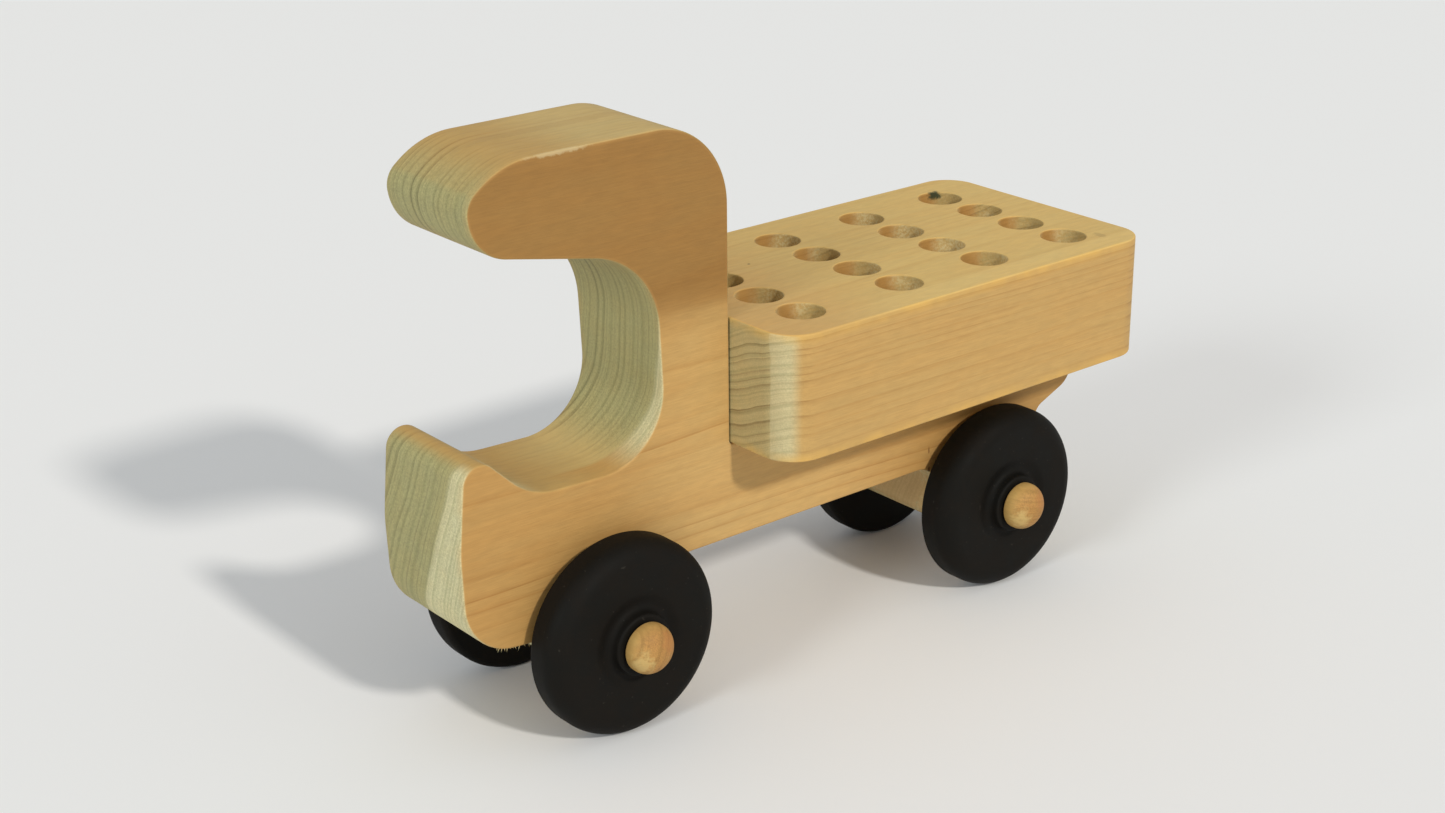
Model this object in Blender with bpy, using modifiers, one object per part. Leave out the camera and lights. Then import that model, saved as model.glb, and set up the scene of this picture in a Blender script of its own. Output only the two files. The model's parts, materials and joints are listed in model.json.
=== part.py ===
"""A wooden toy truck whose load bed is a block drilled with sixteen crayon holes.

One plank, sawn to a side profile, is both the open cab and the chassis. The bed block is doweled
and glued on the chassis behind the cab. Four painted wheels turn on wooden axle pegs that are
glued into the chassis. Metres, +X forward, +Y to the truck's left, +Z up. The origin is at the
centre of the truck's footprint, on the ground.
"""

import math

import bmesh
import bpy
from mathutils import Matrix, Vector

MM = 0.001
GAP = 0.3 * MM  # clearance kept between glued or touching pieces

# Body plank
PLANK_THICKNESS = 38.1 * MM
EDGE_EASE = 0.9 * MM
EASE_SEGMENTS = 2
EASE_ANGLE = math.radians(60)
ARC_STEP = math.radians(9)

# Side profile, in millimetres forward of the cab's back and up from the ground. Each corner is
# (forward, up, fillet radius); outline_points() turns the corners into arcs.
AXLE_HEIGHT_MM = 29.3
CHASSIS_BOTTOM_MM = 42.4
DECK_MM = 71.9
FOOT_BOTTOM_MM = 19.5
ROOF_MM = 169.1
FRONT_AXLE_MM = 45.6
REAR_AXLE_MM = -103.3
FOOT_HALF_WIDTH_MM = 18.0
PROFILE_MM = [
    (FRONT_AXLE_MM + 16.4, FOOT_BOTTOM_MM, 8.0),  # front foot, front of its sole
    (65.0, 31.2, 6.0),  # front foot meets the bumper's lip
    (92.1, 33.6, 17.4),  # bumper, lower corner
    (93.2, 64.0, 40.0),  # bumper face
    (90.2, 95.5, 5.7),  # top of the bumper
    (69.3, 75.3, 21.6),  # dip behind the bumper
    (23.2, 73.8, 20.5),  # floor of the cab into its back wall
    (26.0, 133.4, 26.1),  # back wall into the underside of the roof
    (84.2, 145.2, 14.5),  # roof nose, lower
    (86.4, 159.8, 7.2),  # roof nose, front
    (74.7, ROOF_MM, 26.9),  # roof nose, upper
    (0.3, ROOF_MM, 25.2),  # roof into the back of the cab
    (0.0, DECK_MM, 1.0),  # back of the cab meets the deck
    (-145.0, DECK_MM, 1.5),  # tail, top
    (-144.6, 56.6, 7.9),  # tail, lower corner
    (-129.3, 50.0, 5.0),  # tail sweeps into the rear foot
    (REAR_AXLE_MM - FOOT_HALF_WIDTH_MM, FOOT_BOTTOM_MM, 8.0),  # rear foot, back of its sole
    (REAR_AXLE_MM + FOOT_HALF_WIDTH_MM, FOOT_BOTTOM_MM, 8.0),  # rear foot, front of its sole
    (-84.8, CHASSIS_BOTTOM_MM, 9.5),  # rear foot meets the chassis
    (24.8, CHASSIS_BOTTOM_MM, 8.0),  # chassis meets the front foot
    (FRONT_AXLE_MM - FOOT_HALF_WIDTH_MM, FOOT_BOTTOM_MM, 8.0),  # front foot, back of its sole
]

# Bed block; the hole rows are measured back from its front face
BED_LENGTH = 149.4 * MM
BED_WIDTH = 88.9 * MM
BED_THICKNESS = 38.1 * MM
BED_FRONT = -GAP
BED_BOTTOM = DECK_MM * MM + GAP
BED_CORNER_RADIUS = 11.0 * MM
CRAYON_HOLE_RADIUS = 7.15 * MM
CRAYON_HOLE_DEPTH = 28.6 * MM
HOLE_FLARE = 0.3 * MM
HOLE_PITCH_ACROSS = 18.2 * MM
HOLES_ACROSS = 4
HOLE_ROWS = [19.2 * MM, 57.7 * MM, 93.2 * MM, 128.2 * MM]
HOLE_SEGMENTS = 24

# Glue dowels between the deck and the bed, halfway between two rows of holes
DOWEL_ROWS = {"bed_dowel_front": (0, 1), "bed_dowel_rear": (2, 3)}
DOWEL_RADIUS = 4.76 * MM
DOWEL_LENGTH = 31.8 * MM
DOWEL_CHAMFER = 0.8 * MM
DOWEL_END_ROOM = 0.6 * MM
DOWEL_SEGMENTS = 16

# Wheels and axle pegs; distances along an axle are from the middle of the plank
AXLES_MM = {"front": FRONT_AXLE_MM, "rear": REAR_AXLE_MM}
SIDES = {"left": 1, "right": -1}
WHEEL_RADIUS = AXLE_HEIGHT_MM * MM
WHEEL_BORE_RADIUS = 4.8 * MM
RIM_INNER_FACE = 21.9 * MM
RIM_OUTER_FACE = 34.0 * MM
RIM_INNER_ROUND = 2.0 * MM
RIM_OUTER_ROUND = 6.0 * MM
RIM_OUTER_STEPS = 4
HUB_RADIUS = 9.2 * MM
HUB_OUTER_FACE = 36.4 * MM
HUB_INNER_FACE = PLANK_THICKNESS / 2 + 0.5 * MM
HUB_ROUND = 0.8 * MM
HUB_FLARE = 0.3 * MM
VALLEY_RADIUS = 10.6 * MM
VALLEY_END_RADIUS = 14.6 * MM
VALLEY_DEPTH = 1.3 * MM
WHEEL_STEPS = 40
PEG_SHANK_RADIUS = 4.365 * MM
PEG_END = 3.2 * MM
PEG_CHAMFER = 0.8 * MM
PEG_UNDERSIDE = HUB_OUTER_FACE + 0.4 * MM
PEG_HEAD_RADIUS = 7.4 * MM
PEG_HEAD_SIDE = 1.8 * MM
PEG_DOME_HEIGHT = 5.6 * MM
PEG_STEPS = 24
DOME_STEPS = 5
ROUND_STEPS = 2
CUTTER_REACH = 2 * MM  # how far a cutter runs past the face that it enters
MERGE = 1e-6

POPLAR_SIDE = (0.60, 0.37, 0.14, 1.0)
POPLAR_BED = (0.62, 0.42, 0.18, 1.0)
DOWEL_WOOD = (0.62, 0.44, 0.22, 1.0)
PEG_WOOD = (0.66, 0.46, 0.20, 1.0)
BLACK_PAINT = (0.014, 0.012, 0.010, 1.0)


def clear_scene():
    for old in list(bpy.data.objects):
        bpy.data.objects.remove(old, do_unlink=True)


def new_collection(name):
    made = bpy.data.collections.new(name)
    bpy.context.scene.collection.children.link(made)
    return made


def new_material(name, color, roughness):
    made = bpy.data.materials.new(name)
    made.use_nodes = True
    shader = made.node_tree.nodes["Principled BSDF"]
    shader.inputs["Base Color"].default_value = color
    shader.inputs["Roughness"].default_value = roughness
    shader.inputs["Metallic"].default_value = 0.0
    made.diffuse_color = color
    return made


def outline_points(corners):
    """Points round a closed outline of (x, y, radius) corners, each corner rounded to an arc."""
    points = []
    for index, (x, y, radius) in enumerate(corners):
        corner = Vector((x, y))
        before = (Vector(corners[index - 1][:2]) - corner).normalized()
        after = (Vector(corners[(index + 1) % len(corners)][:2]) - corner).normalized()
        half_angle = before.angle(after) / 2
        centre = corner + (before + after).normalized() * radius / math.sin(half_angle)
        tangent = radius / math.tan(half_angle)
        start = corner + before * tangent - centre
        end = corner + after * tangent - centre
        turn = math.atan2(start.x * end.y - start.y * end.x, start.dot(end))
        steps = max(2, round(abs(turn) / ARC_STEP))
        for step in range(steps + 1):
            points.append(centre + Matrix.Rotation(turn * step / steps, 2) @ start)
    return points


def sawn_board(name, points, thickness, wood, target, matrix):
    """A flat outline cut from stock of the given thickness, centred on its middle plane."""
    outline = bpy.data.curves.new(name + "_outline", "CURVE")
    outline.dimensions = "2D"
    outline.fill_mode = "BOTH"
    outline.extrude = thickness / 2
    spline = outline.splines.new("POLY")
    spline.points.add(len(points) - 1)
    for place, (x, y) in zip(spline.points, points):
        place.co = (x, y, 0, 1)
    spline.use_cyclic_u = True
    guide = bpy.data.objects.new(name + "_outline", outline)
    target.objects.link(guide)
    guide.matrix_world = matrix
    bpy.context.view_layer.update()
    evaluated = guide.evaluated_get(bpy.context.evaluated_depsgraph_get())
    mesh = bpy.data.meshes.new_from_object(evaluated)
    cage = bmesh.new()
    cage.from_mesh(mesh)
    bmesh.ops.remove_doubles(cage, verts=cage.verts, dist=MERGE)
    bmesh.ops.recalc_face_normals(cage, faces=cage.faces)
    cage.to_mesh(mesh)
    cage.free()
    board = bpy.data.objects.new(name, mesh)
    board.matrix_world = guide.matrix_world
    bpy.data.objects.remove(guide, do_unlink=True)
    target.objects.link(board)
    mesh.materials.clear()
    mesh.materials.append(wood)
    add_bevel(board, EDGE_EASE, EASE_SEGMENTS)
    return board


def add_bevel(piece, width, segments):
    bevel = piece.modifiers.new("eased_edges", "BEVEL")
    bevel.width = width
    bevel.segments = segments
    bevel.limit_method = "ANGLE"
    bevel.angle_limit = EASE_ANGLE


def add_cut(piece, cutter):
    cut = piece.modifiers.new("cut_" + cutter.name, "BOOLEAN")
    cut.operation = "DIFFERENCE"
    cut.solver = "EXACT"
    cut.object = cutter


def link_mesh_object(name, cage, target):
    mesh = bpy.data.meshes.new(name)
    cage.to_mesh(mesh)
    cage.free()
    piece = bpy.data.objects.new(name, mesh)
    target.objects.link(piece)
    return piece


def cylinder_cutter(name, spots, segments, cutters):
    """One cutter of several cylinders, each (matrix, radius, start, end) along its own Z."""
    cage = bmesh.new()
    for matrix, radius, start, end in spots:
        middle = Matrix.Translation((0, 0, (start + end) / 2))
        bmesh.ops.create_cone(
            cage,
            cap_ends=True,
            segments=segments,
            radius1=radius,
            radius2=radius,
            depth=end - start,
            matrix=matrix @ middle,
        )
    return as_cutter(link_mesh_object(name, cage, cutters))


def flare_cutter(name, places, radius, flare, segments, cutters):
    """Shallow countersinks, each wider by flare at the surface that its place is on."""
    cage = bmesh.new()
    for place in places:
        bmesh.ops.create_cone(
            cage,
            cap_ends=True,
            segments=segments,
            radius1=radius - flare,
            radius2=radius + 2 * flare,
            depth=3 * flare,
            matrix=Matrix.Translation(place + Vector((0, 0, -flare / 2))),
        )
    return as_cutter(link_mesh_object(name, cage, cutters))


def as_cutter(piece):
    piece.hide_render = True
    piece.display_type = "WIRE"
    return piece


def turned_mesh(name, profile, closed, surface):
    """The profile's mesh, to be turned by add_turning(); points are (radius, along the axis)."""
    cage = bmesh.new()
    ring = [cage.verts.new((radius, 0, along)) for radius, along in profile]
    for first, second in zip(ring, ring[1:]):
        cage.edges.new((first, second))
    if closed:
        cage.edges.new((ring[-1], ring[0]))
    mesh = bpy.data.meshes.new(name)
    cage.to_mesh(mesh)
    cage.free()
    mesh.materials.append(surface)
    return mesh


def add_turning(piece, steps):
    turning = piece.modifiers.new("turning", "SCREW")
    turning.axis = "Z"
    turning.angle = math.tau
    turning.steps = steps
    turning.render_steps = steps
    turning.use_merge_vertices = True
    turning.merge_threshold = MERGE
    turning.use_smooth_shade = True


def rounded_corner(radius, along, size, first_angle, steps=ROUND_STEPS):
    """A quarter circle of a turned profile, running clockwise in (radius, along)."""
    corner = []
    for step in range(steps + 1):
        angle = first_angle - math.pi / 2 * step / steps
        corner.append((radius + size * math.cos(angle), along + size * math.sin(angle)))
    return corner


def wheel_profile():
    """Outer hub face, valley, rim and inner hub, top to bottom down the outer side."""
    top = math.pi / 2
    side = 0.0
    face_at_valley = RIM_OUTER_FACE - VALLEY_DEPTH
    profile = [(WHEEL_BORE_RADIUS, HUB_OUTER_FACE)]
    profile += rounded_corner(HUB_RADIUS - HUB_ROUND, HUB_OUTER_FACE - HUB_ROUND, HUB_ROUND, top)
    profile.append((HUB_RADIUS + HUB_FLARE, face_at_valley + VALLEY_DEPTH / 3))
    profile.append((VALLEY_RADIUS, face_at_valley))
    profile.append((VALLEY_END_RADIUS, RIM_OUTER_FACE - VALLEY_DEPTH / 6))
    shoulder = WHEEL_RADIUS - RIM_OUTER_ROUND
    crown = RIM_OUTER_FACE - RIM_OUTER_ROUND
    profile += rounded_corner(shoulder, crown, RIM_OUTER_ROUND, top, RIM_OUTER_STEPS)
    shoulder = WHEEL_RADIUS - RIM_INNER_ROUND
    profile += rounded_corner(shoulder, RIM_INNER_FACE + RIM_INNER_ROUND, RIM_INNER_ROUND, side)
    profile.append((HUB_RADIUS + HUB_ROUND, RIM_INNER_FACE))
    profile.append((HUB_RADIUS, RIM_INNER_FACE - HUB_ROUND))
    profile += rounded_corner(HUB_RADIUS - HUB_ROUND, HUB_INNER_FACE + HUB_ROUND, HUB_ROUND, side)
    profile.append((WHEEL_BORE_RADIUS, HUB_INNER_FACE))
    return profile


def peg_profile():
    """Domed head, shank and chamfered end, from the top of the dome down."""
    side_top = PEG_UNDERSIDE + PEG_HEAD_SIDE
    profile = []
    for step in range(DOME_STEPS):
        angle = math.pi / 2 * step / DOME_STEPS
        radius = PEG_HEAD_RADIUS * math.sin(angle)
        profile.append((radius, side_top + PEG_DOME_HEIGHT * math.cos(angle)))
    profile.append((PEG_HEAD_RADIUS, side_top))
    profile.append((PEG_HEAD_RADIUS, PEG_UNDERSIDE + PEG_CHAMFER))
    profile.append((PEG_HEAD_RADIUS - PEG_CHAMFER, PEG_UNDERSIDE))
    profile.append((PEG_SHANK_RADIUS, PEG_UNDERSIDE))
    profile.append((PEG_SHANK_RADIUS, PEG_END + PEG_CHAMFER))
    profile.append((PEG_SHANK_RADIUS - PEG_CHAMFER, PEG_END))
    profile.append((0, PEG_END))
    return profile


def along_axle(x, side):
    """The frame of an axle whose local Z points out of the truck on the given side."""
    turn = Matrix.Rotation(-side * math.pi / 2, 4, "X")
    return Matrix.Translation((x, 0, AXLE_HEIGHT_MM * MM)) @ turn


def dowel_places():
    """Name and place of each dowel's middle, on the joint between the deck and the bed."""
    for name, (ahead, behind) in DOWEL_ROWS.items():
        x = BED_FRONT - (HOLE_ROWS[ahead] + HOLE_ROWS[behind]) / 2
        yield name, Vector((x, 0, DECK_MM * MM + GAP / 2))


def crayon_hole_places():
    """Where each crayon hole's axis meets the top of the bed."""
    top = BED_BOTTOM + BED_THICKNESS
    for row in HOLE_ROWS:
        for column in range(HOLES_ACROSS):
            y = (column - (HOLES_ACROSS - 1) / 2) * HOLE_PITCH_ACROSS
            yield Vector((BED_FRONT - row, y, top))


def dowel_cutter(cutters):
    half = DOWEL_LENGTH / 2 + DOWEL_END_ROOM
    spots = []
    for _, place in dowel_places():
        spots.append((Matrix.Translation(place), DOWEL_RADIUS + GAP, -half, half))
    return cylinder_cutter("dowel_holes", spots, DOWEL_SEGMENTS, cutters)


def make_body(parts, cutters, dowel_holes):
    """Cab and chassis in one plank, bored for the axle pegs and the dowels."""
    wood = new_material("poplar_body", POPLAR_SIDE, 0.62)
    points = outline_points([(x * MM, z * MM, r * MM) for x, z, r in PROFILE_MM])
    upright = Matrix.Rotation(math.pi / 2, 4, "X")
    body = sawn_board("cab_and_chassis", points, PLANK_THICKNESS, wood, parts, upright)
    reach = PLANK_THICKNESS / 2 + CUTTER_REACH
    bores = []
    for x_mm in AXLES_MM.values():
        bores.append((along_axle(x_mm * MM, 1), PEG_SHANK_RADIUS + GAP, -reach, reach))
    add_cut(body, cylinder_cutter("axle_bores", bores, PEG_STEPS, cutters))
    add_cut(body, dowel_holes)
    return body, max(point.x for point in points)


def make_bed(parts, cutters, dowel_holes):
    """Solid block with sixteen blind crayon holes in its top."""
    wood = new_material("poplar_bed", POPLAR_BED, 0.62)
    half = BED_WIDTH / 2
    rear = BED_FRONT - BED_LENGTH
    round_off = BED_CORNER_RADIUS
    corners = [
        (BED_FRONT, -half, round_off),
        (BED_FRONT, half, round_off),
        (rear, half, round_off),
        (rear, -half, round_off),
    ]
    lifted = Matrix.Translation((0, 0, BED_BOTTOM + BED_THICKNESS / 2))
    points = outline_points(corners)
    bed = sawn_board("bed_block", points, BED_THICKNESS, wood, parts, lifted)
    places = list(crayon_hole_places())
    holes = []
    for place in places:
        where = Matrix.Translation(place)
        holes.append((where, CRAYON_HOLE_RADIUS, -CRAYON_HOLE_DEPTH, CUTTER_REACH))
    add_cut(bed, cylinder_cutter("crayon_holes", holes, HOLE_SEGMENTS, cutters))
    flares = flare_cutter(
        "crayon_hole_flares", places, CRAYON_HOLE_RADIUS, HOLE_FLARE, HOLE_SEGMENTS, cutters
    )
    add_cut(bed, flares)
    add_cut(bed, dowel_holes)
    return bed


def make_dowels(parts):
    wood = new_material("dowel_wood", DOWEL_WOOD, 0.6)
    dowels = []
    for name, place in dowel_places():
        cage = bmesh.new()
        bmesh.ops.create_cone(
            cage,
            cap_ends=True,
            segments=DOWEL_SEGMENTS,
            radius1=DOWEL_RADIUS,
            radius2=DOWEL_RADIUS,
            depth=DOWEL_LENGTH,
        )
        dowel = link_mesh_object(name, cage, parts)
        dowel.data.materials.append(wood)
        dowel.location = place
        add_bevel(dowel, DOWEL_CHAMFER, 1)
        dowels.append(dowel)
    return dowels


def make_running_gear(parts):
    """A wheel and its peg at each end of each axle, with their origins on the axle."""
    paint = new_material("black_paint", BLACK_PAINT, 0.55)
    wood = new_material("peg_wood", PEG_WOOD, 0.5)
    kinds = {
        "wheel": (turned_mesh("wheel", wheel_profile(), True, paint), WHEEL_STEPS),
        "axle_peg": (turned_mesh("axle_peg", peg_profile(), False, wood), PEG_STEPS),
    }
    pieces = []
    for end, x_mm in AXLES_MM.items():
        for side_name, side in SIDES.items():
            for kind, (mesh, steps) in kinds.items():
                piece = bpy.data.objects.new(f"{kind}_{end}_{side_name}", mesh)
                parts.objects.link(piece)
                piece.matrix_world = along_axle(x_mm * MM, side)
                add_turning(piece, steps)
                pieces.append(piece)
    return pieces


def main():
    clear_scene()
    parts = new_collection("toy_crayon_truck")
    cutters = new_collection("cutters")
    dowel_holes = dowel_cutter(cutters)
    body, front = make_body(parts, cutters, dowel_holes)
    pieces = [body, make_bed(parts, cutters, dowel_holes)]
    pieces += make_dowels(parts)
    pieces += make_running_gear(parts)
    pieces += cutters.objects
    centre = (front + BED_FRONT - BED_LENGTH) / 2
    truck = bpy.data.objects.new("truck_centre", None)
    parts.objects.link(truck)
    truck.location.x = -centre
    for piece in pieces:
        piece.parent = truck


main()
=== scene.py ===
"""The looks of the wooden toy crayon truck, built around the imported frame.

Every shown piece is a finely meshed copy of its CAD solid: the sawn body board, the drilled bed,
four painted wheels and four axle pegs. Wood is a solid texture: growth rings about a pith line,
fibres along the grain, and end grain wherever a face cuts across them. Metres, +X forward, +Y to
the truck's left, +Z up.
"""

import json
import math

import bpy
from mathutils import Matrix, Vector, noise
from mathutils.geometry import tessellate_polygon


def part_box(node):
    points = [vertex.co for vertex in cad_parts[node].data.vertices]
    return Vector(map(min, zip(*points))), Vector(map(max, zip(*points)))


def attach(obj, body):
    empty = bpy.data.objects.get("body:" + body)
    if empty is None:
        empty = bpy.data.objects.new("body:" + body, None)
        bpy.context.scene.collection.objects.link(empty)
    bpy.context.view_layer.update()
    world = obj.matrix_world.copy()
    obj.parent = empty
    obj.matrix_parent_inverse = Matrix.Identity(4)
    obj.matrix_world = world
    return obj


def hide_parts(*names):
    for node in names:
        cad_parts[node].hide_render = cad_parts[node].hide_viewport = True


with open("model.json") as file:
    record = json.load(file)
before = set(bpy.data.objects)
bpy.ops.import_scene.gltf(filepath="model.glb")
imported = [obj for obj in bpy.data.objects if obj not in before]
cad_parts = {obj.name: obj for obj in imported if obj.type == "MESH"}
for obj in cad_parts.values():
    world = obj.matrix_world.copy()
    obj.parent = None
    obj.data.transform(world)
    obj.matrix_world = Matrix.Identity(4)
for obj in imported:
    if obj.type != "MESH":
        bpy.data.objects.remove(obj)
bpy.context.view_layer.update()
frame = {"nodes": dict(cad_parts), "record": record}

MM = 0.001
GAP = 0.3 * MM  # between the bed and the cab's back

# ---------------------------------------------------------------- places and sizes

_, BODY_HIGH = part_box("cab_and_chassis")
BED_LOW, BED_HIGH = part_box("bed_block")
CAB_BACK = BED_HIGH.x + GAP
HALF_PLANK = BODY_HIGH.y

# Sizes that repeat the CAD's
BED_CORNER_RADIUS = 11.0 * MM
HOLE_RADIUS = 7.15 * MM
HOLE_DEPTH = 28.6 * MM
BORE_RADIUS = 4.665 * MM

# Side profile in millimetres forward of the cab's back and up from the ground, with each corner's
# fillet radius, as in the CAD outline
PROFILE_MM = [
    (62.0, 19.5, 8.0),  # front foot, front of its sole
    (65.0, 31.2, 6.0),  # front foot meets the bumper's lip
    (92.1, 33.6, 17.4),  # bumper, lower corner
    (93.2, 64.0, 40.0),  # bumper face
    (90.2, 95.5, 5.7),  # top of the bumper
    (69.3, 75.3, 21.6),  # dip behind the bumper
    (23.2, 73.8, 20.5),  # floor of the cab into its back wall
    (26.0, 133.4, 26.1),  # back wall into the underside of the roof
    (84.2, 145.2, 14.5),  # roof nose, lower
    (86.4, 159.8, 7.2),  # roof nose, front
    (74.7, 169.1, 26.9),  # roof nose, upper
    (0.3, 169.1, 25.2),  # roof into the back of the cab
    (0.0, 71.9, 1.0),  # back of the cab meets the deck
    (-145.0, 71.9, 1.5),  # tail, top
    (-144.6, 56.6, 7.9),  # tail, lower corner
    (-129.3, 50.0, 5.0),  # tail sweeps into the rear foot
    (-121.3, 19.5, 8.0),  # rear foot, back of its sole
    (-85.3, 19.5, 8.0),  # rear foot, front of its sole
    (-84.8, 42.4, 9.5),  # rear foot meets the chassis
    (24.8, 42.4, 8.0),  # chassis meets the front foot
    (27.6, 19.5, 8.0),  # front foot, back of its sole
]

# ---------------------------------------------------------------- mesh tools

EDGE_ATTRIBUTE = "edge_wear_and_highlight"  # 1 on an eased edge, 0 on the faces beside it
DRILL_ATTRIBUTE = "drilled"  # 1 on a drilled wall
FEWEST_ARC_STEPS = 3
INSET_SHARE = 0.9  # the deepest inset of a rounded corner, as a share of its radius


def rounded_outline(corners, arc_step, straight_step):
    """Points and outward normals round a closed outline of (x, y, radius) corners, and how deep
    an inset may go at each before it would cross itself."""
    stretches = []
    for index, (x, y, radius) in enumerate(corners):
        corner = Vector((x, y))
        before = (Vector(corners[index - 1][:2]) - corner).normalized()
        after = (Vector(corners[(index + 1) % len(corners)][:2]) - corner).normalized()
        half_angle = before.angle(after) / 2
        centre = corner + (before + after).normalized() * radius / math.sin(half_angle)
        tangent = radius / math.tan(half_angle)
        start = corner + before * tangent - centre
        end = corner + after * tangent - centre
        turn = math.atan2(start.x * end.y - start.y * end.x, start.dot(end))
        stretches.append((centre, start, turn, radius))
    points = []
    for index, (centre, start, turn, radius) in enumerate(stretches):
        steps = max(FEWEST_ARC_STEPS, math.ceil(abs(turn) / arc_step))
        side = math.copysign(1, turn)
        room = INSET_SHARE * radius if side > 0 else math.inf
        for step in range(steps + 1):
            spoke = Matrix.Rotation(turn * step / steps, 2) @ start
            points.append((centre + spoke, spoke.normalized() * side, room))
        after_centre, after_start, _, _ = stretches[(index + 1) % len(stretches)]
        reach = after_centre + after_start - points[-1][0]
        pieces = max(1, math.ceil(reach.length / straight_step))
        last, normal, _ = points[-1]
        for piece in range(1, pieces):
            points.append((last + reach * piece / pieces, normal, math.inf))
    return points


class Shell:
    """A mesh under construction, made of rings of points that are bridged and capped."""

    def __init__(self):
        self.points = []
        self.faces = []
        self.wear = []
        self.drilled = []

    def ring(self, points, wear=0.0, drilled=0.0):
        first = len(self.points)
        self.points.extend(points)
        self.wear.extend([wear] * len(points))
        self.drilled.extend([drilled] * len(points))
        return list(range(first, first + len(points)))

    def bridge(self, lower, upper):
        """Quads between two rings of the same length, facing out where upper is above lower and
        both run counter-clockwise."""
        count = len(lower)
        for here in range(count):
            there = (here + 1) % count
            self.faces.append((lower[here], lower[there], upper[there], upper[here]))

    def loft(self, rings):
        for lower, upper in zip(rings, rings[1:]):
            self.bridge(lower, upper)

    def cap(self, outer, holes, facing):
        """A flat face inside one ring and outside the others, which faces along facing."""
        loops = [outer] + holes
        corners = [index for loop in loops for index in loop]
        flat = [[self.points[index] for index in loop] for loop in loops]
        for a, b, c in tessellate_polygon(flat):
            a, b, c = corners[a], corners[b], corners[c]
            side = (self.points[b] - self.points[a]).cross(self.points[c] - self.points[a])
            if side.dot(facing) < 0:
                b, c = c, b
            self.faces.append((a, b, c))

    def fan(self, ring, apex, outward):
        """Triangles from a ring to a point; outward tells which way round they run."""
        tip = self.ring([apex])[0]
        for here, there in zip(ring, ring[1:] + ring[:1]):
            self.faces.append((here, there, tip) if outward else (there, here, tip))

    def build(self, name, material):
        mesh = bpy.data.meshes.new(name)
        mesh.from_pydata([tuple(point) for point in self.points], [], self.faces)
        mesh.materials.append(material)
        mesh.shade_smooth()
        for label, values in ((EDGE_ATTRIBUTE, self.wear), (DRILL_ATTRIBUTE, self.drilled)):
            attribute = mesh.attributes.new(label, "FLOAT", "POINT")
            attribute.data.foreach_set("value", values)
        mesh.validate()
        piece = bpy.data.objects.new(name, mesh)
        bpy.context.scene.collection.objects.link(piece)
        return piece


def ease_levels(radius, steps):
    """(inset, fall) pairs round an eased edge, from the face down to the wall."""
    levels = []
    for step in range(steps + 1):
        angle = math.pi / 2 * step / steps
        levels.append((radius * (1 - math.sin(angle)), radius * (1 - math.cos(angle))))
    return levels


def ripple(place, wavelength, seed):
    """Smooth noise from -1 to 1."""
    return noise.noise(place / wavelength + Vector((seed, 2.3 * seed, 0.7 * seed)))


# ---------------------------------------------------------------- shader tools


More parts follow.
